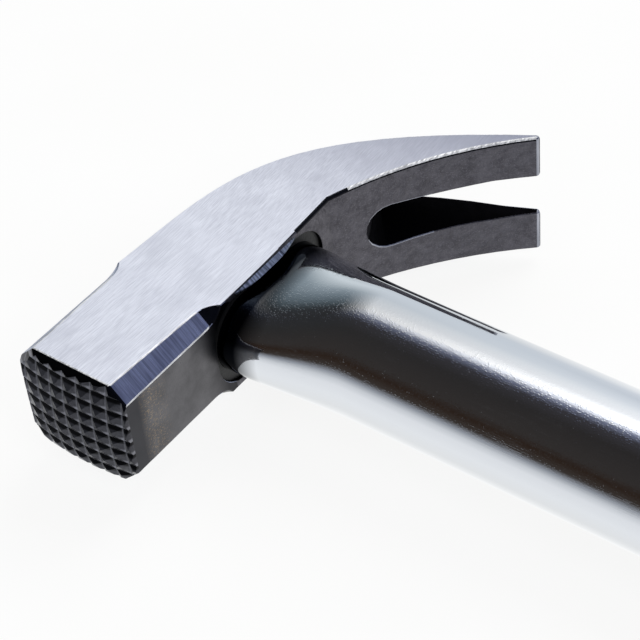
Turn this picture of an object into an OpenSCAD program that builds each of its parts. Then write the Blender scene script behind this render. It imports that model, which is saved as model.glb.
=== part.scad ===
// Crate hammer, lying on its side: a forged claw head with a waffle face, on a swaged steel tube.
// +X runs along the handle towards the head, +Y towards the striking face, +Z is up.

/* [Overall] */
// Length from the top of the head to the butt of the grip
overall_l = 320; // [290:1:360]

/* [Head] */
// Height of the poll, from the handle side of the head to its top
poll_h = 24; // [21:0.5:28]
// Thickness of the poll across its two ground cheeks
poll_t = 23; // [20.5:0.5:27]
// Chamfer along the four long edges of the poll
poll_chamfer = 3.3; // [2:0.1:4.5]
// Thickness of the head at the eye, across the ground cheeks
eye_t = 21.4; // [20:0.2:24]
// Rise of the eye's crown over the handle side of the head
eye_h = 22.9; // [19:0.1:26]
// Distance from the handle's axis to the middle of the striking face
face_reach = 42; // [38:0.5:56]
// Lean of the striking face, in degrees
face_rake = 1.4; // [0:0.2:4]
// Radius of the face's crown
face_crown_r = 65; // [55:1:200]
// Bevel ground on the face's edge along the upper cheek and its two chamfers
face_bevel = 2.7; // [2:0.1:3.6]

/* [Waffle] */
// Spacing of the milled grooves
waffle_pitch = 3.08; // [2.6:0.01:4]
// Depth of a groove
waffle_depth = 0.6; // [0.5:0.05:1]
// Flat left on top of each tooth
waffle_land = 0.3; // [0.2:0.05:0.6]
// How far the pattern sits off the middle of the poll's thickness
waffle_shift = -1.1; // [-1.5:0.1:1.5]
// Turn of the pattern out of square with the poll, in degrees
waffle_turn = 2.7; // [0:0.1:5]

/* [Claw] */
// Distance from the handle's axis to the claw's tips
claw_reach = 52.4; // [46:0.5:66]
// How far the tips hang below the handle side of the head
claw_drop = 24.4; // [18:0.2:32]
// Width across both tips
claw_w = 27.4; // [25:0.2:32]
// Thickness of a tip
tip_t = 0.9; // [0.6:0.1:1.8]
// Hollow of the claw's underside, at its deepest
claw_hollow = 2.4; // [1:0.1:4]
// Width of the nail slot on the underside
slot_w = 10.6; // [8:0.2:12]
// Width of the nail slot between the tips
slot_mouth_w = 8.8; // [7:0.2:11]
// Width of the nail slot on the outer side
slot_neck_w = 1.2; // [0.8:0.1:3]

/* [Tube] */
// Outside diameter of the handle tube
tube_d = 25; // [22:0.5:28]
// Wall of the tube
tube_wall = 1.6; // [1.2:0.1:2.4]
// Thickness of the tube's swaged end
swage_w = 16; // [14.5:0.2:17]
// Length over which the tube grows from its swaged end to full round
swage_run = 24; // [16:1:36]
// How far the tube's end is ground below the eye's crown
tube_sink = 0.5; // [0.2:0.1:2]

/* [Eye] */
// Width of the resin seam along the tube's flats, in the mouth of the eye
seam_w = 1.7; // [1.2:0.1:2]
// Width of the resin seam at the tube's round ends
seam_end_w = 0.8; // [0.4:0.05:1.2]
// Depth of the mouth that holds the resin
mouth_depth = 3; // [2:0.5:6]
// How far the lips of the eye stand out on the handle side of the head
lip_h = 1; // [0.6:0.1:1.4]
// Depth of the hardwood core in the tube
core_l = 30; // [22:1:34]
// Length of a steel wedge
wedge_l = 12; // [8:0.5:16]
// Width of a steel wedge
wedge_w = 9; // [6:0.5:10]
// Thickness of a wedge's head
wedge_t = 2.2; // [1.6:0.1:3]

/* [Grip] */
// Length of the grip
grip_l = 124; // [105:1:140]
// Height of the grip at its palm swell, across the striking direction
grip_h = 35; // [32:0.5:40]
// Thickness of the grip at its palm swell
grip_t = 32; // [31:0.5:36]
// Solid rubber beyond the tube's end
butt_l = 18; // [16:0.5:26]
// Diameter of the hanging hole
hang_d = 7; // [5:0.5:8]
// Number of ribs between the grooves of the grip
rib_count = 12; // [6:1:16]
// Depth of the grip's grooves
rib_depth = 0.8; // [0.4:0.1:1.2]

/* [Hidden] */
$fn = 64;

// Overrun of every cut, and the play of every push fit
over = 1;
fit = 0.05;

// Forms of the head that follow its main sizes
half_poll = poll_t / 2;
half_eye = eye_t / 2;
poll_mid = poll_h / 2;
top_bevel = 2.1;
bevel_in_share = 0.5;
under_bevel_l = 2.8;
under_bevel_in = 0.9;
heel_r = 2.7;
fade_start = 18.2;
fade_end = 13.1;
crown_start = 12.5;
arc_steps = 10;
curve_steps = 22;
crown_sides = 200;
groove_steps = 9;

// Control points of the claw's outer line, as shares of its run and of its fall
back_run_shares = [0.394, 0.633];
back_fall_shares = [0.036, 0.015];
// Control points of the cheek's flare towards the tips, as shares of its run
flare_run_shares = [0.43, 0.52];
flare_rise_shares = [0, 0.71];
// Heading of the tips against the striking direction, in degrees
tip_heading = 63;
// Where the underside leaves the eye and where the slot closes, as shares
root_share = 0.36;
slot_share = 0.17;
slot_straight_share = 0.62;
slot_depth_share = 0.45;

// The tube's flattened section keeps the round tube's girth
swage_flat = PI * (tube_d - swage_w) / 2;
swage_l = swage_flat + swage_w;
tube_end = poll_h - overall_l + butt_l;
loft_rings = 9;
loft_sides = 48;
mouth_l = swage_l + 2 * seam_end_w;
mouth_w = swage_w + 2 * seam_w;
mouth_r = 7;
lip_l = 17;
lip_mid = 0.4;
lip_in = 0.8;
lip_ledge = 0.25;
lip_edge = half_eye - lip_ledge;
seam_sink = 0.7;
wedge_edge_share = 0.3;

plug_l = 12;
plug_flange = 2;

// The grip's form along its length from the butt: [place, height, thickness], all shares
grip_shares = [[0, 0.96, 0.96], [0.06, 1.06, 1], [0.24, 0.88, 0.93], [0.5, 1, 1],
    [0.82, 0.87, 0.92], [0.93, 0.97, 0.98], [1, 0.92, 0.95]];
squareness_share = 0.88;
rib_zone_shares = [0.21, 0.22, 0.6];
rib_lead_shares = [0.17, 0.13, 0.08, 0.04];
rib_trail_shares = [0.96, 0.93, 0.9, 0.86];
lip_shares = [0, 0.25, 0.6, 1];
butt_shares = [1, 0.65, 0.35, 0.1, 0];
grip_sides = 36;
butt_round = 3;
lip_round = 1.6;
hang_in = 9.5;
hang_rim = 2.2;
hang_sink = 1.9;
hang_half = grip_t / 2 - hang_sink;

// Points of the side view, [along the handle, towards the face]
tip_top = [-claw_drop, -claw_reach];
tip_under = tip_top + tip_t * [-cos(tip_heading), sin(tip_heading)];
root = [0, -claw_reach * root_share];
crown = [eye_h, crown_start];
slot_end = arc_at(root, tip_under, claw_hollow, slot_share);
slot_dir = tip_under - slot_end;
slot_run = norm(slot_dir);
slot_angle = atan2(slot_dir.y, slot_dir.x);
root_t = eye_h * slot_depth_share;

// The part's origin is the middle of its footprint, on the ground it lies on
shift = [overall_l / 2 - poll_h, (claw_reach - face_reach) / 2, grip_t / 2];

// A point of the bow through p and q, at share s of the way, that swells to the left by rise
function arc_at(p, q, rise, s) =
    let (chord = q - p, side = [-chord.y, chord.x] / norm(chord))
    p + chord * s + side * rise * 4 * s * (1 - s);

// A cubic curve with end points a and d and control points b and c
function curve_at(a, b, c, d, s) =
    pow(1 - s, 3) * a + 3 * s * pow(1 - s, 2) * b + 3 * s * s * (1 - s) * c + pow(s, 3) * d;
function curve_points(a, b, c, d, steps) = [for (i = [0:steps]) curve_at(a, b, c, d, i / steps)];

// A quarter round at centre c, turned from angle a to angle b
function round_points(c, r, a, b, steps) =
    [for (i = [0:steps]) let (t = a + (b - a) * i / steps) c + r * [cos(t), sin(t)]];

// Claw and cheek lines
function back_control(k) = crown + [
    -(eye_h + claw_drop) * back_fall_shares[k],
    -(crown_start + claw_reach) * back_run_shares[k]];
function flare_control(k) = [
    crown_start - (crown_start + claw_reach) * flare_run_shares[k],
    half_eye + (claw_w / 2 - half_eye) * flare_rise_shares[k]];

// One cheek from the striking face to the claw's tip, with its face bevel
function cheek_points(bevel_l, bevel_in) = concat(
    [[face_reach + over, half_poll - bevel_in - over * bevel_in / bevel_l],
     [face_reach - bevel_l, half_poll]],
    curve_points([crown_start, half_eye], flare_control(0), flare_control(1),
        [-claw_reach - over, claw_w / 2], curve_steps));

module in_place() {
    translate(shift) children();
}

// Extrudes a side-view outline to both sides of the middle plane
module side_plate(t) {
    translate([0, 0, -t / 2]) linear_extrude(t) children();
}

// Extrudes an outline drawn in Y and Z along the handle, from x0 upwards
module along_handle(x0, l) {
    translate([x0, 0, 0]) rotate([90, 0, 90]) linear_extrude(l) children();
}

module obround(l, w) {
    square([l - w, w], center = true);
    for (side = [-1, 1]) translate([side * (l - w) / 2, 0]) circle(d = w);
}

module rounded_rect(l, w, r) {
    square([l - 2 * r, w], center = true);
    square([l, w - 2 * r], center = true);
    for (sy = [-1, 1], sz = [-1, 1]) translate([sy * (l / 2 - r), sz * (w / 2 - r)]) circle(r);
}

// Side view of the head: poll, crown, the claw's back and its hollow underside
module head_side() {
    front = face_reach + over;
    polygon(concat(
        round_points([heel_r, face_reach - heel_r], heel_r, 180, 90, arc_steps),
        [[heel_r, front], [poll_h - top_bevel - over, front], [poll_h, face_reach - top_bevel]],
        curve_points(crown, back_control(0), back_control(1), tip_top, curve_steps),
        [for (i = [arc_steps:-1:0]) arc_at(root, tip_under, claw_hollow, i / arc_steps)]));
}

// View along the handle: the cheeks run straight past the eye and flare towards the tips
module head_plan() {
    upper = cheek_points(face_bevel, face_bevel * bevel_in_share);
    lower = cheek_points(under_bevel_l, under_bevel_in);
    polygon(concat(upper, [for (i = [len(lower) - 1:-1:0]) [lower[i].x, -lower[i].y]]));
}

// Cutter for one long edge of the poll; before the eye it runs out in the curve of the wheel
module edge_cutter(bevel_l, bevel_in) {
    depth = poll_chamfer * sqrt(1 / 2);
    run = fade_start - fade_end;
    side_plate(half_poll) polygon(concat(
        [[half_poll, face_reach + over],
         [-depth - bevel_in - over * bevel_in / bevel_l, face_reach + over],
         [-depth, face_reach - bevel_l]],
        [for (i = [0:arc_steps]) let (a = 90 * i / arc_steps)
            [-depth * cos(a), fade_start - run * sin(a)]],
        [[half_poll, fade_end]]));
}

module edge_cuts() {
    for (end = [0, 1]) {
        translate([end * poll_h, 0, half_poll])
            rotate([0, atan2(-1, 2 * end - 1), 0]) edge_cutter(face_bevel, face_bevel);
        translate([end * poll_h, 0, -half_poll])
            rotate([0, atan2(1, 2 * end - 1), 0]) edge_cutter(under_bevel_l, under_bevel_in);
    }
}

// The crown's centre, turned so that +Y points at the middle of the striking face
module at_crown() {
    translate([poll_mid + face_crown_r * sin(face_rake), face_reach - face_crown_r * cos(face_rake), 0])
        rotate([0, 0, face_rake]) children();
}

// One groove of the waffle: a V that follows the crown, in a plane off the crown's centre
function groove_ring(off, a) = let (
        half = (waffle_pitch - waffle_land) / 2 * (waffle_depth + over) / waffle_depth,
        r = sqrt(face_crown_r * face_crown_r - off * off))
    [for (p = [[r - waffle_depth, 0], [r + over, -half], [r + over, half]])
        [p.x * sin(a), p.x * cos(a), off + p.y]];

module groove(off) {
    span = asin(poll_h / face_crown_r);
    skin([for (i = [groove_steps:-1:0]) groove_ring(off, span * (2 * i / groove_steps - 1))]);
}

// Grooves crossed at right angles, a pitch apart
module waffle_cuts() {
    rows = ceil(poll_h / waffle_pitch / 2);
    at_crown() rotate([0, -waffle_turn, 0]) for (i = [-rows:rows]) let (off = (i + 1 / 2) * waffle_pitch) {
        groove(off + waffle_shift);
        rotate([0, 90, 0]) groove(off);
    }
}

// Nail slot: a wedge with a round closed end, wide on the underside and narrow outside
module slot_slice(n) {
    share = n / root_t;
    wide = slot_w + (slot_neck_w - slot_w) * share;
    mouth = slot_mouth_w + (slot_neck_w - slot_mouth_w) * share;
    translate([0, 0, n]) linear_extrude(fit) polygon(concat(
        round_points([slot_w / 2, 0], wide / 2, 270, 90, arc_steps),
        [[slot_run * slot_straight_share, wide / 2], [slot_run + over, mouth / 2],
         [slot_run + 2 * over, mouth / 2], [slot_run + 2 * over, -mouth / 2],
         [slot_run + over, -mouth / 2], [slot_run * slot_straight_share, -wide / 2]]));
}

module nail_slot() {
    translate([slot_end.x, slot_end.y, 0]) rotate([-90, 0, slot_angle]) hull() {
        slot_slice(-2 * over);
        slot_slice(root_t);
    }
}

// Lips of the eye along both cheeks: bowed in the side view, with a ground chamfer outside
module eye_lips() {
    bow_r = (lip_l * lip_l / 4 + lip_h * lip_h) / (2 * lip_h);
    intersection() {
        side_plate(eye_t) translate([bow_r - lip_h, lip_mid]) circle(bow_r, $fn = crown_sides);
        translate([0, lip_mid, 0]) rotate([90, 0, 0]) linear_extrude(lip_l, center = true) polygon([
            [-lip_h, lip_in - lip_edge], [-lip_h, lip_edge - lip_in], [0, lip_edge],
            [over, lip_edge], [over, -lip_edge], [0, -lip_edge]]);
    }
}

module eye_hole() {
    along_handle(-over, eye_h + 2 * over) obround(swage_l + 2 * fit, swage_w + 2 * fit);
    along_handle(-lip_h - over, mouth_depth + lip_h + over) rounded_rect(mouth_l, mouth_w, mouth_r);
}

module hammer_head() {
    color("gainsboro") in_place() difference() {
        union() {
            intersection() {
                side_plate(claw_w + 2 * over) head_side();
                along_handle(-claw_drop - 2 * over, claw_drop + poll_h + 4 * over) head_plan();
                at_crown() sphere(face_crown_r, $fn = crown_sides);
            }
            eye_lips();
        }
        edge_cuts();
        waffle_cuts();
        nail_slot();
        eye_hole();
    }
}

// Sections of the tube between its flattened end and the full round
function tube_ring(x, s, l, w, d) = [for (k = [0:loft_sides - 1]) let (
        a = 360 * k / loft_sides,
        flat = (l - w) / 2 * sign(cos(a)),
        oval = [flat + w / 2 * cos(a), w / 2 * sin(a)],
        disc = d / 2 * [cos(a), sin(a)],
        p = oval + (disc - oval) * s) [x, p.x, p.y]];

// Closed solid through a list of rings, the first one nearest the head
module skin(rings) {
    n = len(rings[0]);
    last = len(rings) - 1;
    polyhedron([for (ring = rings) each ring], concat(
        [[for (k = [n - 1:-1:0]) k]],
        [for (r = [0:last - 1], k = [0:n - 1]) let (m = (k + 1) % n)
            each [[r * n + k, r * n + m, (r + 1) * n + m], [r * n + k, (r + 1) * n + m, (r + 1) * n + k]]],
        [[for (k = [0:n - 1]) last * n + k]]));
}

// The neck is drawn a hair under size, so that it runs cleanly into both ends of the tube
module tube_loft(l, w, d) {
    skin(concat(
        [tube_ring(over, 0, l - fit, w - fit, d - fit)],
        [for (i = [0:loft_rings]) let (s = i / loft_rings)
            tube_ring(-swage_run * s, s * s * (3 - 2 * s), l - fit, w - fit, d - fit)],
        [tube_ring(-swage_run - over, 1, l - fit, w - fit, d - fit)]));
}

module tube_form(inset, past) {
    l = swage_l - 2 * inset;
    w = swage_w - 2 * inset;
    d = tube_d - 2 * inset;
    along_handle(0, eye_h + past) obround(l, w);
    tube_loft(l, w, d);
    along_handle(tube_end - past, -tube_end + past - swage_run) circle(d = d);
}

// Everything above a line that runs the given depth under the head's crown
module above_crown(depth) {
    side_plate(tube_d) translate([-depth, 0]) polygon(concat(
        [[2 * eye_h, face_reach], [eye_h, face_reach]],
        curve_points(crown, back_control(0), back_control(1), tip_top, curve_steps),
        [[2 * eye_h, -claw_reach]]));
}

module handle_tube() {
    color("silver") in_place() difference() {
        tube_form(0, 0);
        tube_form(tube_wall, over);
        above_crown(tube_sink);
    }
}

// Hardwood core that keeps the swaged end from closing, split by two wedges
module wedge_form(play) {
    l = wedge_l + play;
    half = wedge_t / 2 + play;
    rotate([90, 0, 0]) translate([0, 0, -wedge_w / 2 - play]) linear_extrude(wedge_w + 2 * play)
        polygon([[0, half], [-l, half * wedge_edge_share], [-l, -half * wedge_edge_share], [0, -half]]);
}

module at_wedges() {
    for (side = [-1, 1]) translate([eye_h, side * (wedge_w / 2 + wedge_t), 0]) children();
}

module core_plug() {
    color("burlywood") in_place() difference() {
        along_handle(eye_h - core_l, core_l)
            obround(swage_l - 2 * tube_wall - 2 * fit, swage_w - 2 * tube_wall - 2 * fit);
        above_crown(2 * tube_sink);
        at_wedges() wedge_form(fit);
    }
}

module steel_wedges() {
    color("dimgray") in_place() difference() {
        at_wedges() wedge_form(0);
        above_crown(tube_sink);
    }
}

module eye_seam() {
    color("black") in_place() difference() {
        along_handle(seam_sink, mouth_depth - seam_sink)
            rounded_rect(mouth_l - 2 * fit, mouth_w - 2 * fit, mouth_r);
        along_handle(-over, mouth_depth + 2 * over) obround(swage_l + 2 * fit, swage_w + 2 * fit);
    }
}

// Moulded cup that closes the tube's lower end and spreads the load on the rubber
module end_plug() {
    body_d = tube_d - 2 * tube_wall - 2 * fit;
    color("dimgray") in_place() difference() {
        union() {
            along_handle(tube_end - plug_flange, plug_flange) circle(d = tube_d);
            along_handle(tube_end - fit, plug_l + fit) circle(d = body_d);
        }
        along_handle(tube_end, plug_l + over) circle(d = body_d - 2 * plug_flange);
    }
}

// Half height and half thickness of the grip, x from its butt
function swell(table, s, k = 0) =
    s >= table[k + 1][0] && k < len(table) - 2 ? swell(table, s, k + 1)
    : let (t = (s - table[k][0]) / (table[k + 1][0] - table[k][0]), e = t * t * (3 - 2 * t))
      [for (j = [1, 2]) table[k][j] + (table[k + 1][j] - table[k][j]) * e];
function edge_loss(x, r) = x >= r ? 0 : r - sqrt(r * r - (r - x) * (r - x));
function grip_half(x, cut) =
    let (share = swell(grip_shares, x / grip_l),
         loss = edge_loss(x, butt_round) + edge_loss(grip_l - x, lip_round) + cut)
    [grip_h / 2 * share[0] - loss, grip_t / 2 * share[1] - loss];
function grip_ring(x, cut) = let (half = grip_half(x, cut)) [
    for (k = [0:grip_sides - 1]) let (a = 360 * k / grip_sides, c = cos(a), s = sin(a)) [
        x,
        half[0] * sign(c) * pow(abs(c), squareness_share),
        half[1] * sign(s) * pow(abs(s), squareness_share)]];

// Rings of the grip as [place from the butt, depth of groove], from the head's end downwards
function grip_stations() = let (pitch = grip_l * rib_zone_shares[2] / rib_count) concat(
    [for (s = lip_shares) [grip_l - lip_round * s, 0]],
    [for (s = rib_trail_shares) [grip_l * s, 0]],
    [for (i = [rib_count:-1:0]) let (x = grip_l * rib_zone_shares[0] + pitch * i) each [
        [x + pitch * rib_zone_shares[1], 0], [x + pitch * rib_zone_shares[1] / 2, rib_depth],
        [x - pitch * rib_zone_shares[1] / 2, rib_depth], [x - pitch * rib_zone_shares[1], 0]]],
    [for (s = rib_lead_shares) [grip_l * s, 0]],
    [for (s = butt_shares) [butt_round * s, 0]]);

module grip() {
    butt = poll_h - overall_l;
    color("#26272a") in_place() difference() {
        translate([butt, 0, 0]) skin([for (st = grip_stations()) grip_ring(st[0], st[1])]);
        along_handle(tube_end - plug_flange, grip_l) circle(d = tube_d + 2 * fit);
        translate([butt + hang_in, 0, -grip_t]) cylinder(h = 2 * grip_t, d = hang_d);
        for (side = [0, 1]) mirror([0, 0, side])
            translate([butt + hang_in, 0, hang_half]) cylinder(h = grip_t, d = hang_d + 2 * hang_rim);
    }
}

hammer_head();
handle_tube();
core_plug();
steel_wedges();
eye_seam();
end_plug();
grip();
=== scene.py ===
"""Looks of a crate hammer: a ground and forged claw head on a chromed tube with a rubber grip."""

import logging
import math
from dataclasses import dataclass
from enum import Enum
from typing import Any, Callable, Iterable, Optional, Sequence

import bmesh
import bpy
from bpy.types import Material, Mesh, Node, NodeTree, Object
from mathutils import Matrix, Vector


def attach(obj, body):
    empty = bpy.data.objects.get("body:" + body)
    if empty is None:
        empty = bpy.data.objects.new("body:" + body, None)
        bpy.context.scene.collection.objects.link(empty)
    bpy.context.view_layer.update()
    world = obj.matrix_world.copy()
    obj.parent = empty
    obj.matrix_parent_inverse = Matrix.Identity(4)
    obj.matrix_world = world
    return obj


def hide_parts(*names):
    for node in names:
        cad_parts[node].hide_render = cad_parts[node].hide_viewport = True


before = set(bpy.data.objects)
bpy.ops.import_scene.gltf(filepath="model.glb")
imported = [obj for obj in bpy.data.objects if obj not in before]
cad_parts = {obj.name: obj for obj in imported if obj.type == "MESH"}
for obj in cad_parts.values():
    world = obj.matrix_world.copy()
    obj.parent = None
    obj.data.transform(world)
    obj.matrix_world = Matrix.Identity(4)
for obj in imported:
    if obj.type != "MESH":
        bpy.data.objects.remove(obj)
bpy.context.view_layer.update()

MM = 0.001
BODY = "root"
LOG = logging.getLogger("crate_hammer")
MAP = "ShaderNodeMapRange"
MATH = "ShaderNodeMath"

# The eye's middle on the handle side of the head: the point that every size below is measured from
EYE = Vector((136.0, 5.2, 16.0)) * MM


class Zone(Enum):
    """Surfaces of the forged head, in the order of its material slots."""

    CHEEK = 0
    CHAMFER = 1
    SHOULDER = 2
    CLAW_INSIDE = 3
    CROWN = 4
    WAFFLE = 5
    RECESS = 6
    RUN_OUT = 7
    EDGE = 8
    LIP = 9


class Run(Enum):
    """Direction in which grinding or drawing marks run: an index of the row's axes, or square to the strike."""

    HANDLE = 0
    STRIKE = 1
    THICKNESS = 2
    ACROSS = 3


def linear(code: str) -> tuple[float, float, float, float]:
    """Turns an sRGB hex code into linear RGBA.

    Args:
        code: Six hex digits after a hash.

    Returns:
        The colour as four floats, alpha 1.
    """
    parts = [int(code[i:i + 2], 16) / 255 for i in (1, 3, 5)]
    return tuple(c / 12.92 if c <= 0.04045 else ((c + 0.055) / 1.055) ** 2.4 for c in parts) + (1.0,)


def per_mm(size_mm: float) -> float:
    """Scale of a pattern whose features have the given size in millimetres."""
    return 1 / (size_mm * MM)


def fresh_tree(owner: Any) -> NodeTree:
    """Empties a material's or a world's node tree and returns it.

    Args:
        owner: A material or a world.

    Returns:
        The empty tree.
    """
    owner.use_nodes = True
    owner.node_tree.nodes.clear()
    return owner.node_tree


def add_node(tree: NodeTree, kind: str, inputs: Any = (), out: Any = 0, **settings: Any) -> Any:
    """Adds one node to a tree, with its settings and its links.

    Args:
        tree: Shader, world or geometry tree.
        kind: The node's type name.
        inputs: Values or other nodes' outputs, in the sockets' order or by socket name or index. A tuple that
            starts with a maths operation is a formula, and may hold others.
        out: Name or index of the output that is wanted, or None for the node itself.
        settings: Attributes of the node.

    Returns:
        The output, or the node where it has none.
    """
    node = tree.nodes.new(kind)
    for key, value in settings.items():
        setattr(node, key, value)
    for key, value in inputs.items() if isinstance(inputs, dict) else enumerate(inputs):
        if isinstance(value, tuple) and isinstance(value[0], str):
            value = add_node(tree, MATH, value[1:], operation=value[0])
        if isinstance(value, bpy.types.NodeSocket):
            tree.links.new(value, node.inputs[key])
        else:
            node.inputs[key].default_value = value
    return node if out is None or not node.outputs else node.outputs[out]


def set_stops(ramp: Node, rows: Sequence[tuple[float, Sequence[float]]]) -> None:
    """Gives a colour ramp its stops, each a place and a linear colour.

    Args:
        ramp: The ramp's node.
        rows: Place and linear colour of each stop.
    """
    stops = ramp.color_ramp.elements
    while len(stops) < len(rows):
        stops.new(0.5)
    for stop, (place, colour) in zip(stops, rows):
        stop.position, stop.color = place, colour


def layered(tree: NodeTree, base: Any, *layers: tuple[Any, ...]) -> Any:
    """Lays tones over a base colour, each as far as its own pattern lets it through.

    Args:
        tree: Shader tree.
        base: Linear colour or socket.
        layers: The pattern, its low and high limit, the share of the tone at each, and the tone.

    Returns:
        The colour socket.
    """
    for *spread, tone in layers:
        share = add_node(tree, MAP, spread)
        tone = linear(tone) if isinstance(tone, str) else tone
        base = add_node(tree, "ShaderNodeMix", {0: share, 6: base, 7: tone}, 2, data_type="RGBA")
    return base


def pattern(tree: NodeTree, coords: Any, size_mm: float, detail: float, roughness: float = 0.55,
            run: Optional[Run] = None, long_mm: float = 0.0) -> Any:
    """Noise that is even, or drawn out along one axis as grinding and drawing marks are.

    Args:
        tree: Shader tree.
        coords: Object coordinates.
        size_mm: Size of a feature, or of a mark across.
        detail: Octaves of the noise.
        roughness: Share of the fine octaves.
        run: Direction of the marks.
        long_mm: Size of a mark along.

    Returns:
        The noise's value socket.
    """
    scale = [per_mm(size_mm)] * 3
    if run is not None:
        for axis in (0, 2) if run is Run.ACROSS else (run.value,):
            scale[axis] = per_mm(long_mm)
    mapped = add_node(tree, "ShaderNodeMapping", {"Vector": coords, "Scale": scale})
    return add_node(tree, "ShaderNodeTexNoise", {
        "Vector": mapped, "Scale": 1.0, "Detail": detail, "Roughness": roughness})


def local(point: Vector) -> Vector:
    """The point measured from the eye, in millimetres: along the handle, towards the face, up."""
    return (point - EYE) / MM


def placed(x: float, y: float, z: float) -> Vector:
    """A point given from the eye in millimetres, in the row frame in metres."""
    return EYE + Vector((x, y, z)) * MM


@dataclass(frozen=True)
class Band:
    """A part of the hammer along one axis, over which a finish changes.

    Args:
        axis: The row's axis.
        start_mm: Where the change begins, from the eye.
        end_mm: Where it is complete.
        colour: sRGB hex of the changed surface.
    """

    axis: Run
    start_mm: float
    end_mm: float
    colour: str = "#000000"

    def mask(self, tree: NodeTree, coords: Any, most: Any = 1.0) -> Any:
        """Share of the change at each place, from 0 to the given value or socket.

        Args:
            tree: Shader tree.
            coords: Object coordinates.
            most: The share where the change is complete, a value or socket.

        Returns:
            The share's socket.
        """
        place = add_node(tree, "ShaderNodeSeparateXYZ", (coords,), self.axis.value)
        limits = [EYE[self.axis.value] + at * MM for at in (self.start_mm, self.end_mm)]
        shares = [0.0, most]
        if self.start_mm > self.end_mm:
            limits, shares = limits[::-1], shares[::-1]
        return add_node(tree, MAP, (place, *limits, *shares))

    def over(self, tree: NodeTree, coords: Any, base: Any) -> Any:
        """The base colour with the change mixed in."""
        return layered(tree, base, (self.mask(tree, coords), 0.0, 1.0, 0.0, 1.0, self.colour))


@dataclass(frozen=True)
class Finish:
    """Base of every finish: a principled surface that reads object coordinates.

    Args:
        name: The material's plain name.
        colour: sRGB hex of the bare surface.
        roughness: Roughness of the bare surface.
        metallic: 1 on metal, 0 elsewhere.
    """

    name: str
    colour: str
    roughness: float
    metallic: float = 1.0

    def material(self) -> Material:
        """Builds the material once and returns it.

        Returns:
            The material.
        """
        found = bpy.data.materials.get(self.name)
        if found:
            return found
        material = bpy.data.materials.new(self.name)
        tree = fresh_tree(material)
        coords = add_node(tree, "ShaderNodeTexCoord", (), "Object")
        inputs = {"Base Color": linear(self.colour), "Roughness": self.roughness, "Metallic": self.metallic,
                  **self.surface(tree, coords)}
        under = {}
        for height, depth_mm, strength in inputs.pop("Bumps", ()):
            under["Normal"] = add_node(tree, "ShaderNodeBump", {
                "Height": height, "Distance": depth_mm * MM, "Strength": strength, **under})
        shader = add_node(tree, "ShaderNodeBsdfPrincipled", {**inputs, **under})
        add_node(tree, "ShaderNodeOutputMaterial", (shader,))
        return material

    def surface(self, tree: NodeTree, coords: Any) -> dict[str, Any]:
        """Shader inputs that the finish drives, and its bumps as rows of height, millimetres and strength."""
        return {}


@dataclass(frozen=True)
class GroundSteel(Finish):
    """Carbon steel ground on a belt: fine parallel marks that spread the highlight across them.

    Args:
        run: Direction of the marks.
        mark_mm: Width of a mark; a real one is 0.05 mm, drawn coarser so that it shows.
        streak_mm: Length of a mark.
        shade: sRGB hex of the darker marks.
        depth_mm: Depth of the marks.
        band: Where painted shade darkens the surface.
        wear: Share of the shade in the darkest marks.
    """

    run: Run = Run.STRIKE
    mark_mm: float = 0.16
    streak_mm: float = 7.0
    shade: str = "#8c8e98"
    depth_mm: float = 0.004
    band: Optional[Band] = None
    wear: float = 0.55

    def surface(self, tree: NodeTree, coords: Any) -> dict[str, Any]:
        """Marks in colour, roughness and bump, with slow clouding from uneven pressure.

        Args:
            tree: Shader tree.
            coords: Object coordinates.

        Returns:
            Shader inputs that the finish drives, and its bumps.
        """
        marks = pattern(tree, coords, self.mark_mm, 3.0, 0.6, self.run, self.streak_mm)
        clouds = pattern(tree, coords, 6.0, 2.0)
        base = layered(tree, linear(self.colour), (marks, 0.35, 0.65, 0.0, self.wear, self.shade),
                       (clouds, 0.4, 0.75, 0.0, 0.3, self.shade))
        rough = (self.roughness - 0.05, self.roughness + 0.1)
        return {"Base Color": self.band.over(tree, coords, base) if self.band else base,
                "Roughness": add_node(tree, MAP, (marks, 0.3, 0.75, *rough)),
                "Bumps": [(marks, self.depth_mm, 1.0)]}


@dataclass(frozen=True)
class ForgedSteel(Finish):
    """Forged and blackened steel: satin, with scale mottling and a fine blasted grain.

    Args:
        shade: sRGB hex of the scale in the hollows.
        mottle_mm: Size of the mottling.
        grain_mm: Size of the blasted grain.
        depth_mm: Depth of the grain.
        bands: Where painted shade darkens the surface.
        flecks: Where scale has flaked off in fine flecks, and the flecks' colour.
    """

    shade: str = "#2c2b2d"
    mottle_mm: float = 3.0
    grain_mm: float = 0.22
    depth_mm: float = 0.012
    bands: tuple[Band, ...] = ()
    flecks: Optional[Band] = None

    def surface(self, tree: NodeTree, coords: Any) -> dict[str, Any]:
        """Mottled colour and roughness over a fine grain.

        Args:
            tree: Shader tree.
            coords: Object coordinates.

        Returns:
            Shader inputs that the finish drives, and its bumps.
        """
        mottle = pattern(tree, coords, self.mottle_mm, 5.0, 0.6)
        grain = pattern(tree, coords, self.grain_mm, 3.0)
        base = layered(tree, linear(self.colour), (mottle, 0.4, 0.68, 0.0, 0.5, self.shade),
                       (grain, 0.45, 0.75, 0.0, 0.35, self.shade))
        if self.flecks:
            flakes = pattern(tree, coords, 0.22, 3.0, 0.6, Run.STRIKE, 0.5)
            most = self.flecks.mask(tree, coords, 0.75)
            base = layered(tree, base, (flakes, 0.56, 0.62, 0.0, most, self.flecks.colour))
        for band in self.bands:
            base = band.over(tree, coords, base)
        rough = (self.roughness - 0.06, self.roughness + 0.1)
        return {"Base Color": base, "Roughness": add_node(tree, MAP, (mottle, 0.3, 0.7, *rough)),
                "Bumps": [(grain, self.depth_mm, 1.0)]}


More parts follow.
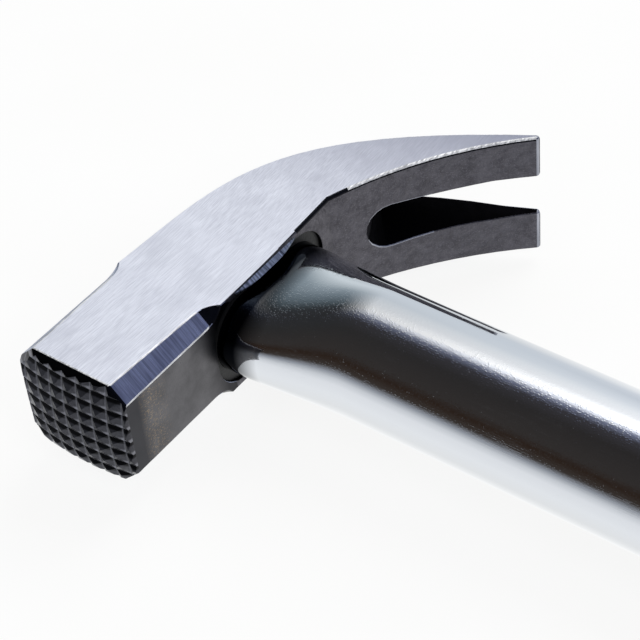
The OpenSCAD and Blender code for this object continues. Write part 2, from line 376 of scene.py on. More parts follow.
@dataclass(frozen=True)
class MilledSteel(Finish):
    """Milled waffle: dark teeth with a painted glint on flanks facing the floor and painted shade on flanks facing
    up.

    Args:
        painted_glint: sRGB hex of the painted glint on the flanks under each tooth and between the columns.
        shade_and_grain: sRGB hex of the painted shade on the flanks that face up, and of the grain.
        pitch_mm: Spacing of the grooves.
        middle_mm: The lattice's middle, along the handle and up from the eye.
        turn_deg: Turn of the lattice.
    """

    painted_glint: str = "#808087"
    shade_and_grain: str = "#161618"
    pitch_mm: float = 3.08
    middle_mm: tuple[float, float] = (12.0, -1.1)
    turn_deg: float = 2.7

    def surface(self, tree: NodeTree, coords: Any) -> dict[str, Any]:
        """Painted glint and shade by the place inside each tooth, over a fine grain.

        Args:
            tree: Shader tree.
            coords: Object coordinates.

        Returns:
            Shader inputs that the finish drives, and its bumps.
        """
        middle = placed(self.middle_mm[0], 0.0, 0.0)
        turned = add_node(tree, "ShaderNodeVectorRotate", {
            "Vector": coords, "Center": middle, "Angle": math.radians(self.turn_deg)}, rotation_type="Y_AXIS")
        axes = add_node(tree, "ShaderNodeSeparateXYZ", (turned,), None).outputs
        rate = per_mm(self.pitch_mm)
        across, up = (("FRACT", ("MULTIPLY_ADD", place, rate, 0.5 - centre * rate)) for place, centre in (
            (axes[0], middle.x), (axes[2], middle.z + self.middle_mm[1] * MM)))
        # Painted glint on the flanks that face the floor, painted shade on those that face up
        ramp = add_node(tree, "ShaderNodeValToRGB", (up,), None)
        tones = ((0.0, self.painted_glint), (0.17, self.painted_glint), (0.3, self.colour), (0.7, self.colour),
                 (0.8, self.shade_and_grain), (1.0, self.shade_and_grain))
        set_stops(ramp, [(place, linear(tone)) for place, tone in tones])
        # Thin lines of painted glint between the columns
        off = ("PINGPONG", across, 0.5)
        grain = pattern(tree, coords, 0.4, 3.0)
        return {"Base Color": layered(tree, ramp.outputs[0], (off, 0.03, 0.09, 0.45, 0.0, self.painted_glint),
                                      (grain, 0.4, 0.7, 0.0, 0.35, self.shade_and_grain)),
                "Bumps": [(grain, 0.004, 1.0)]}


@dataclass(frozen=True)
class ChromePlate(Finish):
    """Bright chrome over drawn steel tube: a mirror with rubbing marks, dust specks and a faint draw line.

    Args:
        speck_mm: Spacing of the specks.
        scratch_mm: Width of a rubbing mark, drawn coarser than the real 0.02 mm so that it shows.
        pit_mm: Size of the fine pits that break up the edge of a reflection.
        band: Where painted shade and dark reflection darken the tube next to the eye.
        pitted: Where the pits are: towards the neck, towards the face, and above the side that a hand rubs clean.
    """

    speck_mm: float = 2.6
    scratch_mm: float = 0.14
    pit_mm: float = 0.34
    # Painted shade and dark reflection on the tube where it leaves the eye
    band: Band = Band(Run.HANDLE, -7.5, -2.8, "#1c2027")
    pitted: tuple[Band, ...] = (Band(Run.HANDLE, -240.0, -12.0), Band(Run.STRIKE, -3.0, 3.0),
                                Band(Run.THICKNESS, 4.4, 7.2))

    def surface(self, tree: NodeTree, coords: Any) -> dict[str, Any]:
        """Clear mirror with patches of fine rubbing, a few specks and fine pits.

        Args:
            tree: Shader tree.
            coords: Object coordinates.

        Returns:
            Shader inputs that the finish drives, and its bumps.
        """
        rubbing = pattern(tree, coords, self.scratch_mm, 4.0, 0.6, Run.HANDLE, 9.0)
        patches = pattern(tree, coords, 16.0, 3.0)
        patches = add_node(tree, MAP, (patches, 0.46, 0.66, 0.0, 1.0))
        worn = add_node(tree, MAP, (rubbing, 0.55, 0.72, 0.0, patches))
        cells, holes = (add_node(tree, "ShaderNodeTexVoronoi", {
            "Vector": coords, "Scale": per_mm(size), "Randomness": 1.0}, None, feature="F1").outputs
            for size in (self.speck_mm, self.pit_mm))
        chosen = ("GREATER_THAN", cells["Color"], 0.6)
        dots = add_node(tree, MAP, (cells["Distance"], 0.04, 0.09, chosen, 0.0))
        marks = add_node(tree, MATH, (worn, dots), operation="MAXIMUM")
        depth = add_node(tree, MAP, (holes["Color"], 0.2, 0.6, 0.0, 1.0))
        for band in self.pitted:
            depth = band.mask(tree, coords, depth)
        pits = add_node(tree, MAP, (holes["Distance"], 0.08, 0.5, depth, 0.0))
        wave = pattern(tree, coords, 2.2, 1.0, 0.6, Run.HANDLE, 60.0)
        rough = (self.roughness, self.roughness + 0.22)
        return {"Base Color": self.band.over(tree, coords, linear(self.colour)),
                "Roughness": add_node(tree, MAP, (marks, 0.0, 1.0, *rough)),
                "Bumps": [(marks, 0.005, 0.6), (pits, 0.016, 1.0), (wave, 0.003, 0.5)]}


@dataclass(frozen=True)
class Hardwood(Finish):
    """Ash end grain, sawn and oiled: growth rings crossed by open pores.

    Args:
        late: sRGB hex of the late wood.
        ring_mm: Spacing of the growth rings.
    """

    late: str = "#7b5430"
    ring_mm: float = 1.9

    def surface(self, tree: NodeTree, coords: Any) -> dict[str, Any]:
        """Rings seen end on, bent by a slow noise, with dark pores between them.

        Args:
            tree: Shader tree.
            coords: Object coordinates.

        Returns:
            Shader inputs that the finish drives, and its bumps.
        """
        mapped = add_node(tree, "ShaderNodeMapping", {
            "Vector": coords, "Scale": (0.08, 1.0, 1.0), "Location": (0.0, -0.028, 0.012)})
        rings = add_node(tree, "ShaderNodeTexWave", {
            "Vector": mapped, "Scale": 0.16 * per_mm(self.ring_mm), "Distortion": 1.6, "Detail": 2.0,
            "Detail Scale": 2.0}, 1, wave_type="RINGS", rings_direction="X")
        pores = pattern(tree, coords, 0.28, 2.0)
        return {"Base Color": layered(tree, linear(self.colour), (rings, 0.0, 1.0, 0.0, 1.0, self.late),
                                      (pores, 0.58, 0.7, 0.0, 0.8, "#3a2412")),
                "Bumps": [(pores, -0.05, 1.0)]}


@dataclass(frozen=True)
class MouldedRubber(Finish):
    """Moulded natural rubber: matt, with a spark-eroded grain and a dusty bloom.

    Args:
        bloom: sRGB hex of the bloom.
        grain_mm: Size of the moulded grain.
    """

    bloom: str = "#34363a"
    grain_mm: float = 0.35

    def surface(self, tree: NodeTree, coords: Any) -> dict[str, Any]:
        """Grain in the bump and a slow bloom in the colour.

        Args:
            tree: Shader tree.
            coords: Object coordinates.

        Returns:
            Shader inputs that the finish drives, and its bumps.
        """
        grain = pattern(tree, coords, self.grain_mm, 2.0)
        clouds = pattern(tree, coords, 14.0, 4.0)
        rough = (self.roughness - 0.05, self.roughness + 0.08)
        return {"Base Color": layered(tree, linear(self.colour), (clouds, 0.42, 0.7, 0.0, 0.7, self.bloom)),
                "Roughness": add_node(tree, MAP, (clouds, 0.3, 0.7, *rough)),
                "Bumps": [(grain, 0.06, 0.7)]}


@dataclass(frozen=True)
class CastResin(Finish):
    """Cast epoxy, black: a dull skin with small sunken bubbles.

    Args:
        gloss: Level of the plain reflection, 0.5 as on most plastics.
    """

    gloss: float = 0.4

    def surface(self, tree: NodeTree, coords: Any) -> dict[str, Any]:
        """Bubbles and a slow sag in the bump.

        Args:
            tree: Shader tree.
            coords: Object coordinates.

        Returns:
            Shader inputs that the finish drives, and its bumps.
        """
        bubbles = pattern(tree, coords, 0.8, 3.0)
        return {"Bumps": [(bubbles, 0.08, 1.0)],
                "Specular IOR Level": self.gloss}


# Pale and softly streaked, darkened towards the claw by painted shade
CHEEK = GroundSteel("belt_ground_cheek_steel", "#f3f5fe", 0.42, 0.5, Run.STRIKE, 0.14, 5.0, "#bbbdc9", 0.002,
                    Band(Run.STRIKE, -14.0, -56.0, "#888a9b"))
# Blue-grey, with coarse marks across the edge
CHAMFER = GroundSteel("wheel_ground_chamfer_steel", "#d2d8ee", 0.3, 1.0, Run.ACROSS, 0.4, 9.0, "#5e6380", 0.008,
                      None, 0.65)
# The same wheel's marks, in broken light and dark bars
LIP = GroundSteel("wheel_ground_lip_steel", "#ccd6ea", 0.34, 1.0, Run.ACROSS, 0.45, 5.0, "#394052", 0.02, None, 0.9)
# Oily dark grey with rust-brown flecks beside the face; painted shade by the eye and by the face's rounded edge
SHOULDER = ForgedSteel("oiled_forged_steel", "#636265", 0.32, 1.0, "#4d4c4e", 5.0, 0.3, 0.006,
                       (Band(Run.STRIKE, 19.5, 14.0, "#242327"), Band(Run.STRIKE, 34.2, 36.8, "#37373b")),
                       Band(Run.STRIKE, 29.0, 34.0, "#a08c70"))
# Dull grey skin, rough as it left the die
CLAW_INSIDE = ForgedSteel("blackened_forged_steel", "#605e64", 0.4, 1.0, "#454347", 2.4, 1.3, 0.3,
                          (), Band(Run.STRIKE, 20.0, -8.0, "#6f6d74"))
# Satin, streaked round the head
CROWN = GroundSteel("linished_crown_steel", "#b9bbc4", 0.34, 1.0, Run.THICKNESS, 0.2, 6.0, "#7c7e88", 0.004)
# Near-black teeth; their flanks carry painted grey glints and painted shade
WAFFLE = MilledSteel("milled_waffle_steel", "#45454a", 0.28)
# Near black in the slot, the eye's mouth and bore: forged scale deepened with painted shade
RECESS = ForgedSteel("scaled_steel_and_painted_shade", "#121114", 0.55, 1.0, "#060607", 1.6)
# Near black: painted shade on the chamfers' run-outs, the rim round the mouth and the claw's edge by the eye
# The same dark steel on the face's bevel and under the claw's bright edge
RUN_OUT = ForgedSteel("dark_steel_and_painted_shade", "#202126", 0.34, 1.0, "#101114", 1.2)
# Worn edge painted white as a highlight, broken along its length
EDGE = GroundSteel("bright_edge_steel", "#ffffff", 0.34, 0.3, Run.STRIKE, 0.35, 3.2, "#5a5b63", 0.003, None, 0.7)
# Cool mirror, darkened where it leaves the eye by painted shade and dark reflection
CHROME = ChromePlate("bright_chrome_plate", "#f0f1f3", 0.035)
# Warm brown end grain
WOOD = Hardwood("oiled_ash_end_grain", "#a97c4b", 0.6, 0.0)
# Plain grey, hammered
WEDGE = ForgedSteel("mild_steel_wedge", "#8a8a8e", 0.42, 1.0, "#4a4a4d", 1.2)
# Dull blacks: cast, moulded and rubbery
RESIN = CastResin("black_cast_epoxy", "#0b0b0c", 0.5, 0.0)
NYLON = CastResin("moulded_black_nylon", "#141416", 0.55, 0.0)
RUBBER = MouldedRubber("moulded_black_rubber", "#1a1b1d", 0.62, 0.0)


def new_piece(name: str, mesh: Mesh, finishes: Iterable[Finish]) -> Object:
    """Makes a mesh object with its materials, in the scene.

    Args:
        name: The piece's name.
        mesh: Its mesh, in the row frame.
        finishes: Its finishes, in the order of the mesh's material indices.

    Returns:
        The object.
    """
    piece = bpy.data.objects.new(name, mesh)
    bpy.context.scene.collection.objects.link(piece)
    mesh.materials.clear()
    for finish in finishes:
        mesh.materials.append(finish.material())
    return piece


def evaluated(piece: Object) -> Object:
    """Turns a piece's modifiers into a plain mesh on the same object.

    Args:
        piece: An object with modifiers.

    Returns:
        The same object.
    """
    graph = bpy.context.evaluated_depsgraph_get()
    mesh = bpy.data.meshes.new_from_object(piece.evaluated_get(graph), depsgraph=graph)
    piece.modifiers.clear()
    piece.data = mesh
    return piece


def sharpen(mesh: Mesh, degrees: float) -> None:
    """Shades a mesh smooth except at edges sharper than the angle."""
    mesh.shade_smooth()
    mesh.set_sharp_from_angle(angle=math.radians(degrees))


def register(piece: Object, slot: str, *nodes: str) -> None:
    """Rides a piece on the hammer's body and hides the nodes that it stands for.

    Args:
        piece: The piece's object.
        slot: Name of its material slot; not used.
        nodes: Nodes that it stands for.
    """
    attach(piece, BODY)
    if nodes:
        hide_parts(*nodes)
    LOG.info("%s: %d faces", piece.name, len(piece.data.polygons))


@dataclass
class ForgedHead:
    """The claw head: the solid's own form with worn edges, sorted into its ground and forged zones.

    Args:
        widest_mm: Width of a full-weight edge.
        worn_mm: Width of plain worn edges.
        chamfer_mm: Width of the bright edges along the poll's chamfers.
        claw_mm: Width of the ground edge along the claw's underside.
        tip_mm: Width of the ground edge across the claw's tips.
        slot_mm: Width of the nail slot's edge.
        lip_mm: Width of the edges of the eye's lips.
        face_y: Start of the striking face's zone, towards the face.
        root_y: Where the claw leaves the eye, towards the face.
        tip_y: Where the tips' ground edge starts.
        lip_y: Half length of the eye's lips.
        poll_y: Where the poll begins, towards the face.
        waffle_y: Where the waffle's grooves begin.
        claw_y: Where the claw's edges begin.
        cheek_z: Height of the ground cheeks, from the middle.
        slot_z: Half width of the nail slot's zone.
        rim_z: Height from which an edge belongs to a cheek.
        bevel_z: Height from which the striking face's edge is bevelled.
        mouth_y: Half length of the eye's mouth, up to mouth_z.
        mouth_z: Height up to which the mouth keeps that length.
        brim_y: Half length of the mouth above that.
        bore_y: Half length of the eye's bore.
        bore_x: Depth of the bore.
        rim_y: Half length of the cheek's edge round the mouth that painted shade darkens.
        shade_y: Where the painted shade on the claw's edge beside the eye ends, towards the claw.
        slot_y: Where the edge of the slot's closed end stops.
        side_y: Start and end of the poll's long edges.
        sharp_deg: Angle from which an edge of the solid is worn.
        cuts_y: Places where the wide handle side is parted, so that each part is a simple form.
    """

    widest_mm: float = 1.0
    worn_mm: float = 0.2
    chamfer_mm: float = 0.26
    claw_mm: float = 0.6
    tip_mm: float = 0.6
    slot_mm: float = 0.18
    lip_mm: float = 0.1
    face_y: float = 38.4
    root_y: float = -18.0
    tip_y: float = -50.5
    lip_y: float = 11.0
    poll_y: float = 12.0
    waffle_y: float = 36.9
    claw_y: float = -8.0
    cheek_z: float = 9.9
    slot_z: float = 6.6
    rim_z: float = 8.0
    bevel_z: float = 9.2
    mouth_y: float = 18.0
    mouth_z: float = 9.72
    brim_y: float = 12.8
    bore_y: float = 11.8
    bore_x: float = 20.0
    rim_y: float = 14.0
    shade_y: float = -23.0
    slot_y: float = -38.0
    side_y: tuple[float, float] = (17.0, 37.0)
    sharp_deg: float = 24.0
    cuts_y: tuple[float, ...] = (15.0, 11.9, 4.0, -4.0, -9.0)

    def zone(self, centre: Vector, normal: Vector) -> Zone:
        """Sorts one face by its place and direction.

        Args:
            centre: The face's middle, from the eye in millimetres.
            normal: Its direction.

        Returns:
            The zone it belongs to.
        """
        over_poll = centre.y > self.poll_y
        if centre.y > self.waffle_y and normal.x < -0.3 and abs(normal.z) < 0.2:
            return Zone.WAFFLE
        if centre.y > self.face_y and normal.y > 0.35 and centre.x > 0.4:
            bevelled = normal.z > 0.6 and centre.z > self.bevel_z or normal.z > 0.3 and normal.x < -0.3
            return Zone.RUN_OUT if bevelled else Zone.WAFFLE
        if abs(normal.z) > 0.93 and abs(centre.z) > self.cheek_z:
            return Zone.CHEEK
        if centre.y < self.root_y and abs(centre.z) < self.slot_z and abs(normal.z) > 0.3:
            return Zone.RECESS
        half = self.mouth_y if abs(centre.z) < self.mouth_z else self.brim_y
        if abs(centre.y) < half and abs(normal.x) < 0.5 and centre.x > -1.2:
            return Zone.RECESS
        if abs(centre.y) < self.bore_y and 0.3 < centre.x < self.bore_x and normal.x < 0.5:
            return Zone.RECESS
        if centre.x < -0.02 and abs(centre.y) < self.lip_y and abs(centre.z) > self.rim_z:
            return Zone.LIP
        if over_poll and abs(normal.x) > 0.3 and abs(normal.z) > 0.3:
            return Zone.RUN_OUT if normal.y > 0.12 and normal.x < 0 else Zone.CHAMFER
        if centre.y < self.root_y and normal.x < 0 and normal.dot(Vector((-0.6, 0.8, 0.0))) > 0.3:
            return Zone.CLAW_INSIDE
        if normal.x < -0.5:
            return Zone.SHOULDER if over_poll else Zone.CLAW_INSIDE
        return Zone.CROWN

    def edge_width(self, edge: bmesh.types.BMEdge) -> float:
        """Width of one edge's bevel, from the zones that it parts.

        Args:
            edge: An edge of the welded solid.

        Returns:
            Millimetres, 0 for an edge inside a smooth surface or in the waffle.
        """
        if len(edge.link_faces) != 2 or edge.calc_face_angle(0.0) < math.radians(self.sharp_deg):
            return 0.0
        middle = local((edge.verts[0].co + edge.verts[1].co) / 2)
        zones = {self.zone(local(f.calc_center_median()), f.normal) for f in edge.link_faces}
        if Zone.WAFFLE in zones or zones in ({Zone.RUN_OUT}, {Zone.CLAW_INSIDE, Zone.SHOULDER}):
            return 0.0
        if zones == {Zone.CLAW_INSIDE} and middle.y > self.tip_y:
            return 0.0
        if Zone.CLAW_INSIDE in zones and middle.y < self.tip_y:
            return self.tip_mm
        if zones == {Zone.CHEEK, Zone.CLAW_INSIDE} and middle.y < self.claw_y:
            return self.claw_mm
        if Zone.RECESS in zones:
            return self.slot_mm
        if Zone.LIP in zones:
            return self.lip_mm
        return self.chamfer_mm if Zone.CHAMFER in zones else self.worn_mm

    def edge_zone(self, centre: Vector, normal: Vector) -> Zone:
        """Finish of one face of a worn edge.

        Args:
            centre: The face's middle, from the eye in millimetres.
            normal: Its direction.

        Returns:
            Painted highlight on edges that the wheel or wear has touched, painted shade by the eye and mouth, else
            the neighbouring zone's finish.
        """
        if centre.y < self.claw_y and centre.x < 4:
            # Painted shade on the claw's ground edge beside the eye
            if normal.z > 0.4 and centre.z > self.rim_z and centre.y > self.shade_y:
                return Zone.RUN_OUT
            in_slot = abs(centre.z) < self.slot_z and self.slot_y < centre.y < self.root_y and normal.x < 0
            if centre.y < self.tip_y or in_slot:
                return Zone.CROWN
            # Painted white highlight along the rest of the claw's ground edge
            if normal.z > 0.4 and centre.z > self.rim_z:
                return Zone.EDGE
            return Zone.RUN_OUT if normal.z > 0 and centre.z > self.rim_z else Zone.CLAW_INSIDE
        start, end = self.side_y
        long_edge = start < centre.y < end and abs(normal.z) > 0.2 and abs(normal.x) > 0.2
        # Painted white highlight on the poll's long edges and along the face's top
        if long_edge or centre.y > end and normal.z > 0.85:
            return Zone.EDGE
        zone = self.zone(centre, normal)
        # Painted shade on the cheek's edge round the mouth
        return Zone.RUN_OUT if abs(centre.y) < self.rim_y and centre.x < 1 and zone == Zone.CHEEK else zone

    def build(self) -> Object:
        """Welds a copy of the solid, wears its edges and sorts its faces.

        Returns:
            The head's object.
        """
        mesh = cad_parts["hammer_head"].data.copy()
        mesh.name = "forged_head"
        form = bmesh.new()
        form.from_mesh(mesh)
        bmesh.ops.remove_doubles(form, verts=form.verts, dist=0.002 * MM)
        bmesh.ops.dissolve_limit(form, angle_limit=math.radians(0.4), verts=form.verts, edges=form.edges)
        form.normal_update()
        for place in self.cuts_y:
            wide = [f for f in form.faces if f.normal.x < -0.9 and f.calc_area() > 60 * MM ** 2]
            parts = {part for f in wide for part in (f, *f.edges, *f.verts)}
            bmesh.ops.bisect_plane(form, geom=list(parts), plane_co=placed(0, place, 0), plane_no=(0, 1, 0))
        form.normal_update()
        layer = form.edges.layers.float.new("bevel_weight_edge")
        for edge in form.edges:
            edge[layer] = self.edge_width(edge) / self.widest_mm
        form.to_mesh(mesh)
        form.free()
        for name in ("custom_normal", "sharp_face", "sharp_edge"):
            if name in mesh.attributes:
                mesh.attributes.remove(mesh.attributes[name])
        piece = new_piece("forged_head", mesh, (
            CHEEK, CHAMFER, SHOULDER, CLAW_INSIDE, CROWN, WAFFLE, RECESS, RUN_OUT, EDGE, LIP))
        for face in mesh.polygons:
            face.material_index = self.zone(local(face.center), face.normal).value
        bevel = piece.modifiers.new("wear", "BEVEL")
        bevel.limit_method = "WEIGHT"
        bevel.width = self.widest_mm * MM
        bevel.segments = 3
        bevel.use_clamp_overlap = False
        bevel.material = Zone.EDGE.value
        evaluated(piece)
        for face in piece.data.polygons:
            if face.material_index == Zone.EDGE.value:
                face.material_index = self.edge_zone(local(face.center), face.normal).value
        sharpen(piece.data, 20)
        settle = piece.modifiers.new("settle", "WEIGHTED_NORMAL")
        settle.keep_sharp = True
        settle.weight = 100
        return evaluated(piece)

    def dress(self) -> None:
        """Builds the head in place of its solid."""
        register(self.build(), "forged_steel", "hammer_head")


@dataclass
class HandleTube:
    """Steel tube, swaged to a flat-sided oval where it enters the eye, and ground off under the crown.

    Args:
        diameter: Outside diameter, in millimetres.
        wall: Wall thickness.
        swage_w: Thickness of the swaged end.
        swage_run: Length of the neck.
        end_x: The lower end, from the eye.
        oval: Exponent of the neck's soft oval, 2 for an ellipse.
        soft_share: Share of the neck over which the flat-sided end turns into the soft oval.
        sides: Faces round the tube.
        neck_rings: Rings along the neck.
        shaft_rings: Rings along the round shaft.
        eye_x: Rings inside the eye, from its mouth.
        crown_x: Height from which the solid's points belong to the ground end.
    """

    diameter: float = 25.0
    wall: float = 1.6
    swage_w: float = 16.0
    swage_run: float = 24.0
    end_x: float = -278.0
    oval: float = 2.7
    soft_share: float = 0.06
    sides: int = 192
    neck_rings: int = 48
    shaft_rings: int = 6
    eye_x: tuple[float, ...] = (8.0, 16.0)
    crown_x: float = 17.0

    def section(self, share: float, inset: float) -> list[tuple[float, float]]:
        """One section between the oval, share 0, and the round tube, share 1.

        Args:
            share: Place between the two forms.
            inset: Distance under the outer surface.

        Returns:
            Points towards the face and up.
        """
        flat = math.pi * (self.diameter - self.swage_w) / 4
        small, large = self.swage_w / 2 - inset, self.diameter / 2 - inset
        soft = min(share / self.soft_share, 1.0)
        points = []
        for k in range(self.sides):
            a = 2 * math.pi * k / self.sides
            c, s = math.cos(a), math.sin(a)
            lead = flat * (0 if abs(c) < 1e-9 else math.copysign(1, c))
            bulge = (abs(c) ** self.oval + abs(s) ** self.oval) ** (-1 / self.oval)
            y = (lead + small * c) * (1 - soft) + (flat + small) * c * bulge * soft
            z = small * s * (1 - soft) + small * s * bulge * soft
            points.append((y * (1 - share) + large * c * share, z * (1 - share) + large * s * share))
        return points

    def stations(self) -> list[tuple[float, float]]:
        """Places along the tube with the share of the round form at each, from the butt up.

        Returns:
            Millimetres from the eye, and the share.
        """
        rows = [(self.end_x + (-self.swage_run - self.end_x) * i / self.shaft_rings, 1.0)
                for i in range(self.shaft_rings)]
        for i in range(self.neck_rings, -1, -1):
            s = i / self.neck_rings
            rows.append((-self.swage_run * s, s * s * (3 - 2 * s)))
        return rows + [(x, 0.0) for x in self.eye_x]

    def crown_line(self) -> Callable[[float], float]:
        """Height of the tube's ground end at each place towards the face, read from the solid.

        Returns:
            A function from the place to the height, both in millimetres.
        """
        ends = {}
        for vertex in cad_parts["handle_tube"].data.vertices:
            point = local(vertex.co)
            if point.x > self.crown_x:
                key = round(point.y, 1)
                ends[key] = max(ends.get(key, 0), point.x)
        known = sorted(ends.items())

        def height(y: float) -> float:
            """Straight line between the two nearest known places.

            Args:
                y: Place towards the face.

            Returns:
                The height there.
            """
            for (y0, x0), (y1, x1) in zip(known, known[1:]):
                if y <= y1:
                    return x0 + (x1 - x0) * (max(y, y0) - y0) / max(y1 - y0, 1e-6)
            return known[-1][1]
        return height

    def build(self) -> Object:
        """Skins the outside, the ground end and the bore in one closed mesh.

        Returns:
            The tube's object.
        """
        height = self.crown_line()
        form = bmesh.new()
        rings = []
        for inset in (0.0, self.wall):
            rows = [[form.verts.new(placed(x, y, z)) for y, z in self.section(share, inset)]
                    for x, share in self.stations()]
            rows.append([form.verts.new(placed(height(y), y, z)) for y, z in self.section(0.0, inset)])
            rings.append(rows)
        outer, inner = rings
        loop = outer + inner[::-1] + [outer[0]]
        for low, high in zip(loop, loop[1:]):
            for k in range(self.sides):
                m = (k + 1) % self.sides
                form.faces.new((low[k], low[m], high[m], high[k]))
        bmesh.ops.recalc_face_normals(form, faces=form.faces)
        mesh = bpy.data.meshes.new("chromed_tube")
        form.to_mesh(mesh)
        form.free()
        piece = new_piece("chromed_tube", mesh, (CHROME,))
        sharpen(piece.data, 40)
        return piece

    def dress(self) -> None:
        """Builds the tube in place of its solid."""
        register(self.build(), "chromed_steel", "handle_tube")


@dataclass
class Eye:
    """What closes the eye and the tube: wooden core, wedges, resin seam and the plug in the butt.

    Args:
        finishes: Each node with its finish.
    """

    finishes: tuple[tuple[str, Finish], ...] = (
        ("core_plug", WOOD), ("steel_wedges", WEDGE), ("eye_seam", RESIN), ("end_plug", NYLON))

    def dress(self) -> None:
        """Gives each solid its own finish; their forms are already right."""
        for node, finish in self.finishes:
            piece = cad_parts[node]
            piece.data.materials.clear()
            piece.data.materials.append(finish.material())
            LOG.info("%s: %s", node, finish.name)


@dataclass
class Grip:
    """Moulded rubber grip: a rule-made sleeve with a palm swell, grooves, a hanging hole and a rolled lip.

    Args:
        length: From the butt to the lip, in millimetres.
        height: Height at the swell, in the striking direction.
        thickness: Thickness at the swell.
        butt_x: The butt, from the eye.
        groove_count: Number of grooves.
        groove_depth: Depth of a groove.
        groove_share: Width of a groove as a share of the pitch.
        zone: Start and length of the grooved zone, as shares of the length.
        butt_round: Radius of the butt's edge.
        lip_round: Radius of the lip's edge.
        bore: Diameter of the tube's bore.
        bore_from: Where the bore starts, from the butt.
        hang_d: Diameter of the hanging hole.
        hang_in: The hole's place from the butt.
        hang_rim: Width of the recess round the hole.
        hang_sink: Depth of that recess under the swell.
        squareness: Exponent of the section, 1 for an ellipse.
    """

    length: float = 124.0
    height: float = 35.0
    thickness: float = 32.0
    butt_x: float = -296.0
    groove_count: int = 13
    groove_depth: float = 0.8
    groove_share: float = 0.36
    zone: tuple[float, float] = (0.21, 0.6)
    butt_round: float = 3.0
    lip_round: float = 1.6
    bore: float = 25.1
    bore_from: float = 16.0
    hang_d: float = 7.0
    hang_in: float = 9.5
    hang_rim: float = 2.2
    hang_sink: float = 1.9
    squareness: float = 0.88

    def inputs(self) -> dict[str, float]:
        """The tree's named inputs, lengths in metres.

        Returns:
            Each input's name and value.
        """
        return {"Length": self.length * MM, "Height": self.height * MM, "Thickness": self.thickness * MM,
                "Groove Count": float(self.groove_count), "Groove Depth": self.groove_depth * MM,
                "Groove Share": self.groove_share, "Zone Start": self.zone[0], "Zone Length": self.zone[1],
                "Butt Round": self.butt_round * MM, "Lip Round": self.lip_round * MM}

    def swell(self) -> list[tuple[float, float, float]]:
        """Places along the grip with the shares of its height and thickness there."""
        return [(0.0, 0.96, 0.96), (0.06, 1.06, 1.0), (0.24, 0.88, 0.93), (0.5, 1.0, 1.0),
                (0.82, 0.87, 0.92), (0.93, 0.97, 0.98), (1.0, 0.92, 0.95)]

    def curve(self, tree: NodeTree, value: Any, column: int, parts: int = 8) -> Any:
        """A float curve through one column of the swell, eased between its points.

        Args:
            tree: Geometry tree.
            value: Share of the length.
            column: 1 for the height, 2 for the thickness.
            parts: Points drawn from each row to the next.

        Returns:
            The formula of the share at that place.
        """
        rows = self.swell()
        points = []
        for low, high in zip(rows, rows[1:]):
            for i in range(parts):
                t = i / parts
                ease = t * t * (3 - 2 * t)
                level = low[column] + (high[column] - low[column]) * ease
                points.append((low[0] + (high[0] - low[0]) * t, level / 2))
        points.append((1.0, rows[-1][column] / 2))
        node = add_node(tree, "ShaderNodeFloatCurve", {"Value": value}, None)
        line = node.mapping.curves[0].points
        while len(line) < len(points):
            line.new(0.5, 0.5)
        for point, place in zip(line, points):
            point.location = place
            point.handle_type = "VECTOR"
        node.mapping.update()
        return "MULTIPLY", node.outputs[0], 2.0

    def tree(self) -> NodeTree:
        """Geometry tree of the sleeve: a cylinder whose rings follow the swell and the grooves.

        Returns:
            The tree.
        """
        tree = bpy.data.node_groups.new("grip_sleeve", "GeometryNodeTree")
        for name in self.inputs():
            socket = tree.interface.new_socket(name=name, in_out="INPUT", socket_type="NodeSocketFloat")
            socket.min_value = 1.0 if name == "Groove Count" else 0.0
        tree.interface.new_socket(name="Geometry", in_out="OUTPUT", socket_type="NodeSocketGeometry")
        sizes = add_node(tree, "NodeGroupInput", (), None).outputs
        body = add_node(tree, "GeometryNodeMeshCylinder", {
            "Vertices": 128, "Side Segments": 480, "Radius": 1.0, "Depth": 1.0}, fill_type="NGON")
        axes = add_node(tree, "ShaderNodeSeparateXYZ", (add_node(tree, "GeometryNodeInputPosition"),), None).outputs
        share = add_node(tree, MATH, (axes[2], 0.5), operation="ADD")
        along = add_node(tree, MATH, (share, sizes["Length"]), operation="MULTIPLY")

        def rounding(distance: Any, radius: Any) -> Any:
            """Formula of how far a rounded edge lies inside the outline at a distance from its end.

            Args:
                distance: Distance from the end.
                radius: Radius of the edge.

            Returns:
                The formula.
            """
            gap = ("MAXIMUM", ("SUBTRACT", radius, distance), 0.0)
            chord = ("SUBTRACT", ("MULTIPLY", radius, radius), ("MULTIPLY", gap, gap))
            return "SUBTRACT", radius, ("SQRT", ("MAXIMUM", chord, 0.0))

        pitch = ("DIVIDE", sizes["Zone Length"], ("SUBTRACT", sizes["Groove Count"], 1.0))
        steps = add_node(tree, MATH, (("SUBTRACT", share, sizes["Zone Start"]), pitch),
                         operation="DIVIDE")
        off = ("ABSOLUTE", ("SUBTRACT", steps, ("ROUND", steps)))
        inside = ("MULTIPLY", ("GREATER_THAN", steps, -0.5),
                  ("LESS_THAN", steps, ("SUBTRACT", sizes["Groove Count"], 0.5)))
        half = ("MULTIPLY", sizes["Groove Share"], 0.5)
        groove = add_node(tree, MAP, (
            off, ("MULTIPLY", half, 0.35), ("MULTIPLY", half, 1.25), 1.0, 0.0), interpolation_type="SMOOTHSTEP")
        cut = ("MULTIPLY", ("MULTIPLY", groove, inside), sizes["Groove Depth"])
        ends = ("ADD", rounding(along, sizes["Butt Round"]),
                rounding(("SUBTRACT", sizes["Length"], along), sizes["Lip Round"]))
        loss = add_node(tree, MATH, (cut, ends), operation="ADD")

